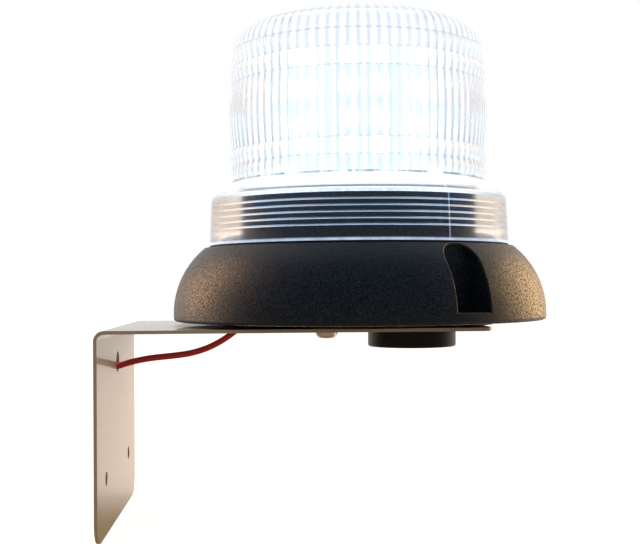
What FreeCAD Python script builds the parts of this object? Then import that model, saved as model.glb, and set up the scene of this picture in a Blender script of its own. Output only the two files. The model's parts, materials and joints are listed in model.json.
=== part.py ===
import FreeCAD, Part
import math
import os

# A warning light with a buzzer: a clear screw-on lens over a drum of lamps, on a round black base,
# carried by a bent-sheet wall bracket with a panel buzzer hanging under its arm.
# Millimetres. The origin is midway between the two wall holes, on the leg's wall side.
# +X points from the wall to the light, +Z is up.

os.makedirs("parts", exist_ok=True)
Vec = FreeCAD.Vector
UP = Vec(0, 0, 1)

# Wall bracket
sheet = 1.5
bracket_width = 125.0
arm_length = 173.0
leg_height = 92.6
bend_inside_r = 3.0
leg_corner_r = 10.0
arm_corner_r = 7.0
wall_hole_d = 6.5
wall_hole_spacing = 74.0
wall_hole_drop = 67.5
lead_hole_d = 10.0
lead_hole_drop = 17.5
light_reach = 119.0

# Base housing; heights here and below are above the bracket arm's top
gasket_thickness = 2.0
base_r = 90.0
skirt_run = 15.0
base_rim_height = 35.0
skirt_straight = 3.5
skirt_edge_r = 1.6
base_wall = 3.0
deck_thickness = 3.0
spigot_inset = 9.6
spigot_height = 23.5
groove_clearance = 0.6
groove_floor_room = 1.5
rib_count = 12
rib_thickness = 2.0

# Bolt pockets in the skirt
pocket_count = 3
pocket_start = 178.0
pocket_width = 17.5
pocket_floor = 5.0
pocket_top_gap = 1.3
pocket_corner_r = 7.0
pocket_bolt_d = 6.5
pocket_mouth_r = 0.6

# Floor plate that closes the base from below
floor_inset = 5.0
floor_thickness = 3.0
floor_screw_count = 4
floor_screw_d = 3.0
floor_screw_length = 12.0
floor_screw_head_d = 5.6
floor_screw_head_h = 1.6

# Gasket under the base
gasket_boss_gap = 3.2
gasket_inset = 4.0
gasket_drain_width = 6.0
gasket_drain_depth = 1.4
gasket_drain_angles = (48.0, 140.0, 220.0, 312.0)

# Screws from the bracket arm into the floor plate
arm_screw_d = 5.0
arm_screw_clearance = 0.5
arm_screw_head_d = 10.0
arm_screw_head_h = 3.7
arm_screw_x = 18.0
arm_screw_y = 38.0
insert_wall = 1.2
insert_length = 8.0
boss_wall = 3.0

# Lens
lens_seal_thickness = 1.0
lens_wall = 2.6
collar_wall = 3.9
rim_ledge = 2.4
collar_draft = 1.0
collar_height = 22.5
collar_edge_r = 2.0
shoulder_height = 8.0
shoulder_width = 10.0
low_bead_pitch = 7.6
low_bead_count = 2
barrel_height = 31.5
barrel_bulge = 1.6
top_bead_pitch = 8.0
top_bead_count = 2
bead_bulge = 1.0
crown_corner_r = 12.0
crown_r = 130.0
flute_count = 84
flute_depth = 0.8
collar_rib_count = 5
collar_rib_pitch = 2.8
collar_rib_width = 0.9
collar_rib_depth = 0.5
collar_roof = 1.6
neck_roof = 0.8
foot_length = 9.5
foot_wall = 3.4
foot_step = 1.0
seal_width = 2.0

# Lamp drum
drum_sides = 8
drum_inset = 16.0
drum_wall = 2.0
drum_headroom = 3.2
drum_flange_width = 7.0
reflector_inset = 2.0
reflector_thickness = 1.5
lamp_board_side_gap = 2.0
lamp_board_thickness = 1.6
lamp_board_margin = 2.0
lamp_size = 5.0
lamp_height = 1.6
lamp_rows = 4
lamp_row_pitch = 13.4
lamp_lift = 7.0
lamp_column_pitch = 14.0
cap_thickness = 2.0
cap_overhang = 3.0
cap_crown = 4.0
drum_screw_count = 4
drum_screw_d = 3.0
drum_screw_length = 8.0
drum_screw_head_d = 5.6
drum_screw_head_h = 2.2

# Driver board inside the drum
driver_board_gap = 6.0
driver_board_thickness = 1.6
spacer_height = 6.0
spacer_d = 6.0
spacer_count = 4
spacer_clearance = 2.0
board_screw_d = 2.5
board_screw_head_d = 4.6
board_screw_head_h = 1.8
capacitor_d = 12.5
capacitor_height = 20.0
capacitor_edge_r = 1.0
capacitor_gap = 1.0
capacitor_row_x = 6.0
inductor_d = 14.0
inductor_height = 9.0
inductor_hole_d = 6.0
chip_size = 9.0
chip_height = 2.2
chip_gap = 0.8
terminal_length = 15.0
terminal_depth = 9.0
terminal_height = 11.0
gland_d = 12.0
gland_lip = 1.5

# Buzzer
buzzer_x = 26.0
buzzer_d = 43.0
buzzer_height = 8.8
buzzer_wall = 2.0
buzzer_neck_d = 28.0
buzzer_neck_wall = 2.0
buzzer_neck_height = 9.0
buzzer_hole_clearance = 0.4
buzzer_flange = 2.6
buzzer_edge_r = 1.0
buzzer_seal = 1.0
buzzer_seal_width = 4.0
buzzer_nut_wall = 3.0
nut_sides = 6
nut_clearance = 1.0
buzzer_nut_height = 4.0
sound_slot_count = 6
sound_slot_length = 9.0
sound_slot_width = 3.0
sound_slot_r = 9.0
sounder_thickness = 0.5
sounder_disc_d = 24.0
sounder_ledge = 2.0
buzzer_pin_d = 1.2
buzzer_pin_height = 5.0
buzzer_pin_spacing = 8.0
buzzer_lead_d = 1.2
buzzer_lead_shift = 2.3
buzzer_lead_spacing = 1.6

# Where parts stand on the driver board, as shares of its radius
inductor_share = (-0.12, 0.55)
chip_row_share = -0.55
terminal_mouth_share = 0.3

# A pan head's outline, as shares of its diameter and height
head_side_share = 0.35
head_knee_shares = (0.44, 0.78)
head_crown_share = 0.28

# Twin supply lead
core_d = 2.9
core_gap = 0.1
lead_exit_inset = 12.3
grommet_hole_d = 13.5
grommet_wall = 1.5
grommet_lip = 1.0
grommet_lip_width = 2.0
grommet_clearance = 1.0
floor_lead_room = 4.0
ferrule_length = 9.0
ferrule_d = 1.6
bend_share = 0.45
# The lead's points (X, Z) from the arm's hole, then as shares of the way to the leg's hole,
# then from the leg's hole down to the bare ends
lead_start = ((3.2, 1.9), (-1.1, -1.9), (-5.7, -5.5))
lead_bow = ((0.179, 0.506), (0.279, 0.672), (0.405, 0.800), (0.551, 0.861), (0.715, 0.911), (0.853, 1.0))
lead_tail = ((2.5, -1.9), (-1.54, -3.37), (-4.63, -6.36), (-6.32, -10.53), (-6.9, -18.5), (-6.2, -30.0),
             (-6.1, -43.5), (-6.65, -56.5))
# Leads inside the base, as shares of the way along and up to the spigot's gland; the supply lead goes
# on into the base in line with its first run outside, this many times as long
inner_lead_start = 1.6
inner_lead_bow = ((0.425, 0.308), (0.670, 0.542), (0.878, 0.776), (1, 0.963))
buzzer_lead_bow = ((0, 0), (0, 0.206), (0.242, 0.430), (0.591, 0.654), (0.860, 0.813), (1, 0.935))

# Room between pieces that slide into each other, and how far a cutter reaches past what it opens
running_gap = 0.3
past = 1.0

# How closely an edge is followed when it is picked by its place
mouth_samples = 7
slack = 0.02

# Levels and radii that follow from the sizes above
arm_top = wall_hole_drop
base_bottom = gasket_thickness
rim_z = base_bottom + base_rim_height
base_rim_r = base_r - skirt_run
floor_r = base_rim_r - floor_inset
gasket_outer_r = floor_r - gasket_inset
lead_exit_x = lead_exit_inset - floor_r
collar_foot_r = base_rim_r - rim_ledge
collar_top_r = collar_foot_r - collar_draft
lens_groove_r = collar_top_r - shoulder_width
spigot_top = rim_z + spigot_height
collar_z = rim_z + lens_seal_thickness
collar_top_z = collar_z + collar_height
neck_z = collar_top_z + shoulder_height
low_groove_z = neck_z + low_bead_pitch * low_bead_count
high_groove_z = low_groove_z + barrel_height
crown_z = high_groove_z + top_bead_pitch * top_bead_count
foot_outer_r = collar_foot_r - seal_width
foot_inner_r = foot_outer_r - foot_wall
groove_outer_r = foot_outer_r + groove_clearance
groove_inner_r = foot_inner_r - groove_clearance
spigot_r = groove_inner_r - spigot_inset
reflector_r = spigot_r - reflector_inset
groove_floor_z = collar_z - foot_length - groove_floor_room
skirt_side_z = base_bottom + skirt_straight
skirt_rise = rim_z - skirt_side_z
skirt_arc_r = (skirt_run**2 + skirt_rise**2) / (2 * skirt_run)
skirt_arc_x = base_r - skirt_arc_r
floor_top = base_bottom + floor_thickness
drum_foot = spigot_top + reflector_thickness
drum_top = crown_z - drum_headroom
drum_apothem = spigot_r - drum_inset
drum_screw_turn = 180.0 / drum_sides
lamp_board_width = 2 * (drum_apothem * math.tan(math.pi / drum_sides) - lamp_board_side_gap)
driver_board_r = drum_apothem - drum_wall - driver_board_gap
spacer_circle_r = drum_apothem - drum_wall - drum_flange_width - spacer_clearance - spacer_d / 2
board_z = drum_foot + spacer_height
board_top = board_z + driver_board_thickness
boss_r = arm_screw_d / 2 + insert_wall + boss_wall
gasket_inner_r = math.hypot(arm_screw_x, arm_screw_y) + boss_r + gasket_boss_gap
insert_top = floor_top + insert_length
buzzer_low = -sheet - buzzer_seal - buzzer_height
buzzer_cup_top = -sheet - buzzer_seal - buzzer_flange
buzzer_nut_width = buzzer_neck_d + 2 * buzzer_nut_wall
core_offset = (core_d + core_gap) / 2
grommet_room_r = grommet_hole_d / 2 + grommet_lip_width + grommet_clearance
gland_low = spigot_top - deck_thickness - gland_lip


def on_circle(radius, degrees, z=0.0):
    """A point at this angle round the light's axis."""
    turn = math.radians(degrees)
    return Vec(radius * math.cos(turn), radius * math.sin(turn), z)


def spread(count, start=0.0):
    """Angles of evenly spaced copies round the axis."""
    return [start + 360.0 / count * i for i in range(count)]


def rod(radius, low, high, at=Vec(0, 0, 0)):
    """An upright cylinder between two heights."""
    return Part.makeCylinder(radius, high - low, Vec(at.x, at.y, low))


def ring(outer, inner, low, high, at=Vec(0, 0, 0)):
    """An upright tube between two heights."""
    return rod(outer, low, high, at).cut(rod(inner, low, high, at))


def block(size_x, size_y, low, high, at=Vec(0, 0, 0)):
    """An upright box centred on a point, between two heights."""
    corner = Vec(at.x - size_x / 2, at.y - size_y / 2, low)
    return Part.makeBox(size_x, size_y, high - low, corner)


def prism(sides, apothem, low, high):
    """An upright regular prism with a flat side facing +X."""
    reach = apothem / math.cos(math.pi / sides)
    corners = [on_circle(reach, a, low) for a in spread(sides, 180.0 / sides)]
    outline = Part.makePolygon(corners + corners[:1])
    return Part.Face(outline).extrude(UP * (high - low))


def turned(edges):
    """A solid of revolution about the light's axis, from a closed outline of (radius, height) edges."""
    return Part.Face(Part.Wire(edges)).revolve(Vec(0, 0, 0), UP, 360)


def at_rz(point):
    """An outline point (radius, height) in the X-Z plane."""
    return Vec(point[0], 0, point[1])


def straight(*points):
    """Straight outline edges through (radius, height) points."""
    places = [at_rz(p) for p in points]
    return [Part.LineSegment(a, b).toShape() for a, b in zip(places, places[1:])]


def rounded(points):
    """A closed outline of (radius, height) points; a third value rounds that corner."""
    corners = [at_rz(p) for p in points]
    entries = []
    exits = []
    arcs = []
    for i, (corner, point) in enumerate(zip(corners, points)):
        corner_r = point[2] if len(point) > 2 else 0.0
        back = (corners[i - 1] - corner).normalize()
        ahead = (corners[(i + 1) % len(corners)] - corner).normalize()
        half_angle = back.getAngle(ahead) / 2
        reach = corner_r / math.tan(half_angle)
        entries.append(corner + back * reach)
        exits.append(corner + ahead * reach)
        if corner_r:
            inward = (back + ahead).normalize()
            middle = corner + inward * (corner_r / math.sin(half_angle) - corner_r)
            arcs.append(Part.Arc(entries[-1], middle, exits[-1]).toShape())
    lines = [Part.LineSegment(a, b).toShape() for a, b in zip(exits, entries[1:] + entries[:1])]
    return Part.__sortEdges__(lines + arcs)


def bow(start, middle, end):
    """One arc of an outline through three (radius, height) points."""
    return [Part.Arc(at_rz(start), at_rz(middle), at_rz(end)).toShape()]


def bulged(start, end, height):
    """An arc of an outline that stands out from its chord, away from the axis."""
    middle_r = (start[0] + end[0]) / 2
    middle_z = (start[1] + end[1]) / 2
    along_r = end[0] - start[0]
    along_z = end[1] - start[1]
    chord = math.hypot(along_r, along_z)
    middle = (middle_r + height * along_z / chord, middle_z - height * along_r / chord)
    return bow(start, middle, end)


def domed(start, rise):
    """An arc of an outline that closes a round cap over the axis."""
    ball_r = (start[0] ** 2 + rise**2) / (2 * rise)
    centre_z = start[1] + rise - ball_r
    lean = math.asin(start[0] / ball_r) / 2
    middle = (ball_r * math.sin(lean), centre_z + ball_r * math.cos(lean))
    return bow(start, middle, (0, start[1] + rise))


def turn_about_axis(shape, degrees):
    """A copy turned about the light's axis."""
    copy = shape.copy()
    copy.rotate(Vec(0, 0, 0), UP, degrees)
    return copy


def together(shapes):
    """Several separate solids in one node."""
    return Part.makeCompound(shapes)


def fused(first, *others):
    """One solid from several that touch or overlap."""
    return first.fuse(list(others)).removeSplitter()


def pan_screw(shank_d, length, head_d, head_h):
    """A screw that points up, with its domed head below the origin."""
    shank = rod(shank_d / 2, 0, length)
    side = (head_d / 2, -head_h * head_side_share)
    knee = (head_d * head_knee_shares[0], -head_h * head_knee_shares[1])
    crown = (head_d * head_crown_share, -head_h)
    edges = straight((0, 0), (head_d / 2, 0), side)
    edges += bow(side, knee, crown)
    edges += straight(crown, (0, -head_h), (0, 0))
    return fused(turned(edges), shank)


def moved(shape, place):
    """A copy moved to a place."""
    copy = shape.copy()
    copy.translate(place)
    return copy


def upside_down(shape):
    """A copy turned over about the X axis."""
    copy = shape.copy()
    copy.rotate(Vec(0, 0, 0), Vec(1, 0, 0), 180)
    return copy


# Wall bracket: an L of sheet with rounded corners, drawn in the part's own frame
def short_edge(edge):
    """True for an edge across the sheet's thickness."""
    return edge.Curve.TypeId == "Part::GeomLine" and abs(edge.Length - sheet) < sheet / 100


def make_wall_bracket():
    leg_foot = arm_top - leg_height
    profile = Part.Face(Part.Wire(rounded([
        (0, leg_foot),
        (0, arm_top, bend_inside_r + sheet),
        (arm_length, arm_top),
        (arm_length, arm_top - sheet),
        (sheet, arm_top - sheet, bend_inside_r),
        (sheet, leg_foot),
    ])))
    profile.translate(Vec(0, -bracket_width / 2, 0))
    bracket = profile.extrude(Vec(0, bracket_width, 0))
    foot_corners = [e for e in bracket.Edges if short_edge(e) and abs(e.CenterOfMass.z - leg_foot) < sheet]
    bracket = bracket.makeFillet(leg_corner_r, foot_corners)
    end_corners = [e for e in bracket.Edges if short_edge(e) and abs(e.CenterOfMass.x - arm_length) < sheet]
    bracket = bracket.makeFillet(arm_corner_r, end_corners)

    drills = []
    for side in (-1, 1):
        centre = Vec(-sheet, side * wall_hole_spacing / 2, 0)
        drills.append(Part.makeCylinder(wall_hole_d / 2, sheet * 3, centre, Vec(1, 0, 0)))
    lead_centre = Vec(-sheet, 0, arm_top - lead_hole_drop)
    drills.append(Part.makeCylinder(lead_hole_d / 2, sheet * 3, lead_centre, Vec(1, 0, 0)))
    below = arm_top - sheet * 2
    above = arm_top + sheet
    screw_r = (arm_screw_d + arm_screw_clearance) / 2
    for side in (-1, 1):
        spot = Vec(light_reach + side * arm_screw_x, side * arm_screw_y, 0)
        drills.append(rod(screw_r, below, above, spot))
    neck_r = (buzzer_neck_d + buzzer_hole_clearance) / 2
    drills.append(rod(neck_r, below, above, Vec(light_reach + buzzer_x, 0, 0)))
    drills.append(rod(grommet_hole_d / 2, below, above, Vec(light_reach + lead_exit_x, 0, 0)))
    return bracket.cut(drills)


# Base housing: a hollow moulded dish with a groove for the lens and a spigot for the lamps
def skirt_r(z, inset=0.0):
    """Radius of the skirt's curved side at a height, or of its inside."""
    rise = z - skirt_side_z
    return skirt_arc_x + math.sqrt((skirt_arc_r - inset) ** 2 - rise**2)


def skirt_outline(inset=0.0, top_r=base_rim_r):
    """The skirt's curve from its straight foot up to a radius, with its end points."""
    arc_r = skirt_arc_r - inset
    top_z = skirt_side_z + math.sqrt(arc_r**2 - (top_r - skirt_arc_x) ** 2)
    low = (base_r - inset, skirt_side_z)
    high = (top_r, top_z)
    middle_z = (skirt_side_z + top_z) / 2
    return low, (skirt_r(middle_z, inset), middle_z), high


def dish_solid():
    """The housing's outer form, without its hollows."""
    low, middle, high = skirt_outline()
    body = turned(rounded([(0, base_bottom), (base_r, base_bottom, skirt_edge_r), low, (0, skirt_side_z)]))
    dome = straight((0, skirt_side_z), low)
    dome += bow(low, middle, high)
    dome += straight(high, (0, rim_z), (0, skirt_side_z))
    return fused(body, turned(dome))


def pocket_outline(grow):
    """A bolt pocket's upright outline: flat floor, round shoulders; grow adds a wall round it."""
    half = pocket_width / 2 + grow
    low = pocket_floor + base_bottom - grow
    high = rim_z - pocket_top_gap + grow
    corner = pocket_corner_r + grow
    outline = rounded([(-half, low), (-half, high, corner), (half, high, corner), (half, low)])
    return turn_about_axis(Part.Face(Part.Wire(outline)), 90)


def pocket_back_r():
    """Where a pocket's back wall stands, clear of the lens groove."""
    return groove_outer_r + base_wall


def pocket_angles():
    """Where the pockets stand round the base, the first on the wall side."""
    return spread(pocket_count, pocket_start)


def in_pocket_mouth(edge):
    """True for an edge that lies in the skirt's outer face between a pocket's floor and the rim."""
    for point in edge.discretize(mouth_samples):
        if not pocket_floor + base_bottom - slack < point.z < rim_z - slack:
            return False
        if abs(math.hypot(point.x, point.y) - skirt_r(point.z)) > slack:
            return False
    return True


def pocketed_dish():
    """The housing's outer form with the pockets cut in and their mouths rounded."""
    spaces = []
    for angle in pocket_angles():
        space = pocket_outline(0).extrude(Vec(base_r, 0, 0))
        space.translate(Vec(pocket_back_r(), 0, 0))
        spaces.append(turn_about_axis(space, angle))
    dish = dish_solid().cut(spaces)
    return dish.makeFillet(pocket_mouth_r, [e for e in dish.Edges if in_pocket_mouth(e)])


def make_base_housing():
    dish = pocketed_dish()
    hollow_low = base_bottom - past
    ceiling = rim_z - deck_thickness
    groove_low = groove_floor_z - base_wall
    tube_outer = groove_outer_r + base_wall
    tube_inner = groove_inner_r - base_wall
    low, middle, high = skirt_outline(base_wall, tube_outer)
    edges = straight((floor_r, hollow_low), (low[0], hollow_low), low)
    edges += bow(low, middle, high)
    edges += straight(high, (tube_outer, groove_low), (floor_r, groove_low), (floor_r, hollow_low))
    channel = turned(edges)
    chamber = rod(floor_r - base_wall, hollow_low, groove_low).fuse(rod(tube_inner, hollow_low, ceiling))
    floor_seat = rod(floor_r + running_gap, hollow_low, floor_top)

    body = fused(dish, rod(spigot_r, ceiling, spigot_top))
    bolt_boxes = []
    bolt_holes = []
    for angle in pocket_angles():
        shell = pocket_outline(base_wall).extrude(Vec(base_r, 0, 0))
        shell.translate(Vec(pocket_back_r() - base_wall / 2, 0, 0))
        foot = block(base_r, pocket_width + 2 * base_wall, base_bottom, base_bottom + pocket_floor,
                     Vec(pocket_back_r() + base_r / 2, 0, 0))
        bolt_x = (pocket_back_r() + base_r) / 2
        bolt_hole = rod(pocket_bolt_d / 2, hollow_low, pocket_floor + base_bottom + past, Vec(bolt_x, 0, 0))
        bolt_boxes.append(turn_about_axis(shell.fuse(foot), angle))
        bolt_holes.append(turn_about_axis(bolt_hole, angle))
    rib_centre = Vec(floor_r - base_wall / 2 + base_r / 2, 0, 0)
    rib = block(base_r, rib_thickness, floor_top, rim_z, rib_centre)
    rib_boxes = [turn_about_axis(rib, a) for a in spread(rib_count, 180.0 / rib_count)]
    channel = channel.cut(bolt_boxes + rib_boxes)

    body = body.cut([channel, chamber, floor_seat])
    body = body.cut(rod(spigot_r - base_wall, ceiling - past, spigot_top - deck_thickness))
    posts = [rod(boss_r - boss_wall / 2, floor_top, ceiling + past, s) for s in floor_screw_spots()]
    body = fused(body, *posts)
    cuts = [ring(groove_outer_r, groove_inner_r, groove_floor_z, rim_z + past)]
    cuts.append(rod(gland_d / 2, spigot_top - deck_thickness - past, spigot_top + past, gland_place()))
    for spot in floor_screw_spots():
        cuts.append(rod(floor_screw_d / 2, floor_top - past, base_bottom + floor_screw_length + past, spot))
    for spot in drum_screw_spots():
        cuts.append(rod(drum_screw_d / 2, spigot_top - deck_thickness - past, spigot_top + past, spot))
    seat_z = rim_z - lens_seal_sink()
    cuts.append(ring(collar_foot_r + running_gap, groove_outer_r - past, seat_z, rim_z + past))
    return body.cut(cuts + bolt_holes)


def lens_seal_sink():
    """How deep the lens seal lies in the rim."""
    return lens_seal_thickness / 2


def gland_place():
    """Where the lead passes through the spigot's top."""
    return Vec(-spacer_circle_r / 2, 0, 0)


def drum_screw_spots():
    """The screws that hold the lamp drum, in the middle of its flange."""
    circle_r = drum_apothem - drum_wall - drum_flange_width / 2
    return [on_circle(circle_r, a) for a in spread(drum_screw_count, drum_screw_turn)]


def floor_screw_spots():
    circle_r = floor_r - boss_r - base_wall
    return [on_circle(circle_r, a) for a in spread(floor_screw_count, 180.0 / floor_screw_count)]


def arm_screw_spots():
    return [Vec(side * arm_screw_x, side * arm_screw_y, 0) for side in (-1, 1)]


def make_base_floor():
    plate = rod(floor_r, base_bottom, floor_top)
    bosses = [rod(boss_r, 0, insert_top, s) for s in arm_screw_spots()]
    plate = fused(plate, *bosses)
    hole_r = (arm_screw_d + arm_screw_clearance) / 2
    cuts = []
    for spot in arm_screw_spots():
        cuts.append(rod(arm_screw_d / 2 + insert_wall, floor_top, insert_top + past, spot))
        cuts.append(rod(hole_r, -past, floor_top + past, spot))
    for spot in floor_screw_spots():
        cuts.append(rod(floor_screw_d / 2 + running_gap, 0, floor_top + past, spot))
        cuts.append(rod(floor_screw_head_d / 2 + running_gap, 0, base_bottom + floor_screw_head_h, spot))
    nut_room = buzzer_nut_width / 2 / math.cos(math.pi / nut_sides) + nut_clearance
    cuts.append(rod(nut_room, 0, floor_top + past, buzzer_place()))
    lead_room = rod(grommet_room_r, 0, floor_top + past, Vec(lead_exit_x, 0, 0))
    cuts += [lead_room, moved(lead_room, Vec(floor_lead_room, 0, 0))]
    return plate.cut(cuts)


def make_base_gasket():
    pad = ring(gasket_outer_r, gasket_inner_r, 0, base_bottom)
    drains = []
    for angle in gasket_drain_angles:
        slot = block(gasket_outer_r, gasket_drain_width, 0, gasket_drain_depth, Vec(gasket_outer_r, 0, 0))
        drains.append(turn_about_axis(slot, angle))
    return pad.cut(drains + [rod(grommet_room_r, 0, base_bottom, Vec(lead_exit_x, 0, 0))])


def make_threaded_inserts():
    outer = arm_screw_d / 2 + insert_wall
    return together([ring(outer, arm_screw_d / 2, floor_top, insert_top, s) for s in arm_screw_spots()])


def make_arm_screws():
    screw = pan_screw(arm_screw_d, sheet + insert_top, arm_screw_head_d, arm_screw_head_h)
    screw.translate(Vec(0, 0, -sheet))
    return together([moved(screw, s) for s in arm_screw_spots()])


def make_floor_screws():
    top = base_bottom + floor_screw_head_h
    head = rod(floor_screw_head_d / 2, base_bottom, top)
    screw = fused(head, rod(floor_screw_d / 2, top, base_bottom + floor_screw_length))
    return together([moved(screw, s) for s in floor_screw_spots()])


# Lens: collar, shoulder, beaded and bulged barrel and a domed crown in one clear moulding
def crown_tangent():
    """Where the crown's corner meets its cap, and the cap's centre height."""
    corner_x = lens_groove_r - crown_corner_r
    centre_z = crown_z - math.sqrt((crown_r - crown_corner_r) ** 2 - corner_x**2)
    lean = math.atan2(crown_z - centre_z, corner_x)
    return corner_x, centre_z, lean


def crown_outline(inset):
    """Corner and cap of the crown, from the barrel's top to the axis; inset gives the inside."""
    corner_x, centre_z, lean = crown_tangent()
    corner_r = crown_corner_r - inset
    cap_r = crown_r - inset
    start = (corner_x + corner_r, crown_z)
    knee = (corner_x + corner_r * math.cos(lean / 2), crown_z + corner_r * math.sin(lean / 2))
    join = (corner_x + corner_r * math.cos(lean), crown_z + corner_r * math.sin(lean))
    steep = (lean + math.pi / 2) / 2
    shoulder = (cap_r * math.cos(steep), centre_z + cap_r * math.sin(steep))
    apex = (0, centre_z + cap_r)
    return bow(start, knee, join) + bow(join, shoulder, apex), start, apex


def lens_outside():
    """The lens's outer form as one solid, from the collar's foot to the crown."""
    collar = turned(rounded([
        (0, collar_z),
        (collar_foot_r, collar_z),
        (collar_top_r, collar_top_z, collar_edge_r),
        (lens_groove_r, neck_z),
        (0, neck_z),
    ]))
    edges = straight((0, neck_z), (lens_groove_r, neck_z))
    z = neck_z
    for _ in range(low_bead_count):
        edges += bulged((lens_groove_r, z), (lens_groove_r, z + low_bead_pitch), bead_bulge)
        z += low_bead_pitch
    edges += bulged((lens_groove_r, z), (lens_groove_r, high_groove_z), barrel_bulge)
    z = high_groove_z
    for _ in range(top_bead_count):
        edges += bulged((lens_groove_r, z), (lens_groove_r, z + top_bead_pitch), bead_bulge)
        z += top_bead_pitch
    crown, _, apex = crown_outline(0)
    edges += crown
    edges += straight(apex, (0, neck_z))
    return fused(collar, turned(edges))


def fluted_bore(low, high):
    """The barrel's inside: a bore whose wall is a row of upright convex ribs."""
    valley = lens_groove_r - lens_wall + flute_depth
    step = 360.0 / flute_count
    edges = []
    for angle in spread(flute_count):
        start = on_circle(valley, angle, low)
        crest = on_circle(valley - flute_depth, angle + step / 2, low)
        end = on_circle(valley, angle + step, low)
        edges.append(Part.Arc(start, crest, end).toShape())
    return Part.Face(Part.Wire(edges)).extrude(UP * (high - low))


def collar_bore():
    """The collar's inside, with a stack of thin ring ribs over its upper part."""
    wall_r = collar_top_r - collar_wall
    top_z = collar_top_z - collar_roof
    neck_r = lens_groove_r - lens_wall + flute_depth
    mouth_z = collar_z - foot_length - past
    points = [(0, mouth_z), (foot_inner_r, mouth_z)]
    points += [(foot_inner_r, collar_z + foot_step), (wall_r, collar_z + foot_step + lens_wall)]
    half = collar_rib_width / 2
    for i in range(collar_rib_count, 0, -1):
        rib_z = top_z - collar_rib_pitch * i
        points += [(wall_r, rib_z - half), (wall_r - collar_rib_depth, rib_z), (wall_r, rib_z + half)]
    points += [(wall_r, top_z), (neck_r, neck_z - neck_roof), (0, neck_z - neck_roof)]
    return turned(straight(*points, points[0]))


def make_lens():
    foot = ring(foot_outer_r, foot_inner_r, collar_z - foot_length, collar_z + lens_wall)
    outside = fused(lens_outside(), foot)
    crown, start, apex = crown_outline(lens_wall)
    crown_space = turned(crown + straight(apex, (0, crown_z), start))
    barrel = fluted_bore(neck_z - lens_wall, crown_z)
    return outside.cut([barrel, crown_space, collar_bore()]).removeSplitter()


def make_lens_seal():
    return ring(collar_foot_r, groove_outer_r, rim_z - lens_seal_sink(), collar_z)


# Lamp drum: an eight-sided carrier with a strip of lamps on every side
def make_reflector():
    disc = rod(reflector_r, spigot_top, drum_foot)
    holes = [rod(gland_d / 2 + running_gap + gland_lip, spigot_top, drum_foot, gland_place())]
    holes += [rod(drum_screw_d / 2 + running_gap, spigot_top, drum_foot, s) for s in drum_screw_spots()]
    holes += [rod(board_screw_d / 2, spigot_top, drum_foot, s) for s in spacer_spots()]
    return disc.cut(holes)


def make_lamp_drum():
    shell = prism(drum_sides, drum_apothem, drum_foot, drum_top)
    shell = shell.cut(prism(drum_sides, drum_apothem - drum_wall, drum_foot + drum_wall, drum_top))
    flange_top = drum_foot + drum_wall
    holes = [rod(drum_apothem - drum_wall - drum_flange_width, drum_foot, flange_top)]
    holes += [rod(drum_screw_d / 2 + running_gap, drum_foot, flange_top, s) for s in drum_screw_spots()]
    return shell.cut(holes)


def make_drum_cap():
    reach = drum_apothem + lamp_board_thickness + cap_overhang
    brim = drum_top + cap_thickness
    cap = turned(straight((0, brim + cap_crown), (0, drum_top), (reach, drum_top), (reach, brim))
                 + domed((reach, brim), cap_crown))
    plug_apothem = drum_apothem - drum_wall - running_gap
    plug = prism(drum_sides, plug_apothem, drum_top - cap_thickness, drum_top)
    hollow = prism(drum_sides, plug_apothem - drum_wall, drum_top - cap_thickness, drum_top)
    return fused(cap, plug.cut(hollow))


def lamp_board():
    """One strip board against the drum's +X side."""
    low = drum_foot + lamp_board_margin
    high = drum_top - lamp_board_margin
    centre = Vec(drum_apothem + lamp_board_thickness / 2, 0, 0)
    return block(lamp_board_thickness, lamp_board_width, low, high, centre)


def board_lamps():
    """The lamps of one strip board."""
    face = drum_apothem + lamp_board_thickness
    middle = (drum_foot + drum_top) / 2 + lamp_lift
    lamps = []
    for row in range(lamp_rows):
        z = middle + (row - (lamp_rows - 1) / 2) * lamp_row_pitch
        for side in (-0.5, 0.5):
            corner = Vec(face, side * lamp_column_pitch - lamp_size / 2, z - lamp_size / 2)
            lamps.append(Part.makeBox(lamp_height, lamp_size, lamp_size, corner))
    return together(lamps)


def make_drum_screws():
    top = drum_foot + drum_wall
    screw = upside_down(pan_screw(drum_screw_d, drum_screw_length, drum_screw_head_d, drum_screw_head_h))
    screw.translate(Vec(0, 0, top))
    return together([moved(screw, s) for s in drum_screw_spots()])


# Driver board and its parts, inside the drum
def spacer_spots():
    return [on_circle(spacer_circle_r, a) for a in spread(spacer_count, 180.0 / spacer_count)]


def make_driver_board():
    board = rod(driver_board_r, board_z, board_top)
    holes = [rod(board_screw_d / 2 + running_gap, board_z, board_top, s) for s in spacer_spots()]
    return board.cut(holes)


def make_board_spacers():
    spacers = [ring(spacer_d / 2, board_screw_d / 2, drum_foot, board_z, s) for s in spacer_spots()]
    return together(spacers)


def make_board_screws():
    screw = upside_down(pan_screw(board_screw_d, spacer_height + driver_board_thickness,
                                  board_screw_head_d, board_screw_head_h))
    screw.translate(Vec(0, 0, board_top))
    return together([moved(screw, s) for s in spacer_spots()])


def make_capacitors():
    cans = []
    for side in (-1, 1):
        spot = Vec(capacitor_row_x + side * (capacitor_d + capacitor_gap) / 2, 0, 0)
        can = rod(capacitor_d / 2, board_top, board_top + capacitor_height, spot)
        rim = [e for e in can.Edges if e.BoundBox.ZMin > board_top + capacitor_height / 2]
        cans.append(can.makeFillet(capacitor_edge_r, rim))
    return together(cans)


def make_inductor():
    spot = Vec(*inductor_share) * driver_board_r
    return ring(inductor_d / 2, inductor_hole_d / 2, board_top, board_top + inductor_height, spot)


def make_control_chips():
    apart = (chip_size + chip_gap) / 2
    spots = [Vec(side * apart, driver_board_r * chip_row_share, 0) for side in (-1, 1)]
    return together([block(chip_size, chip_size, board_top, board_top + chip_height, s) for s in spots])


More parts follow.
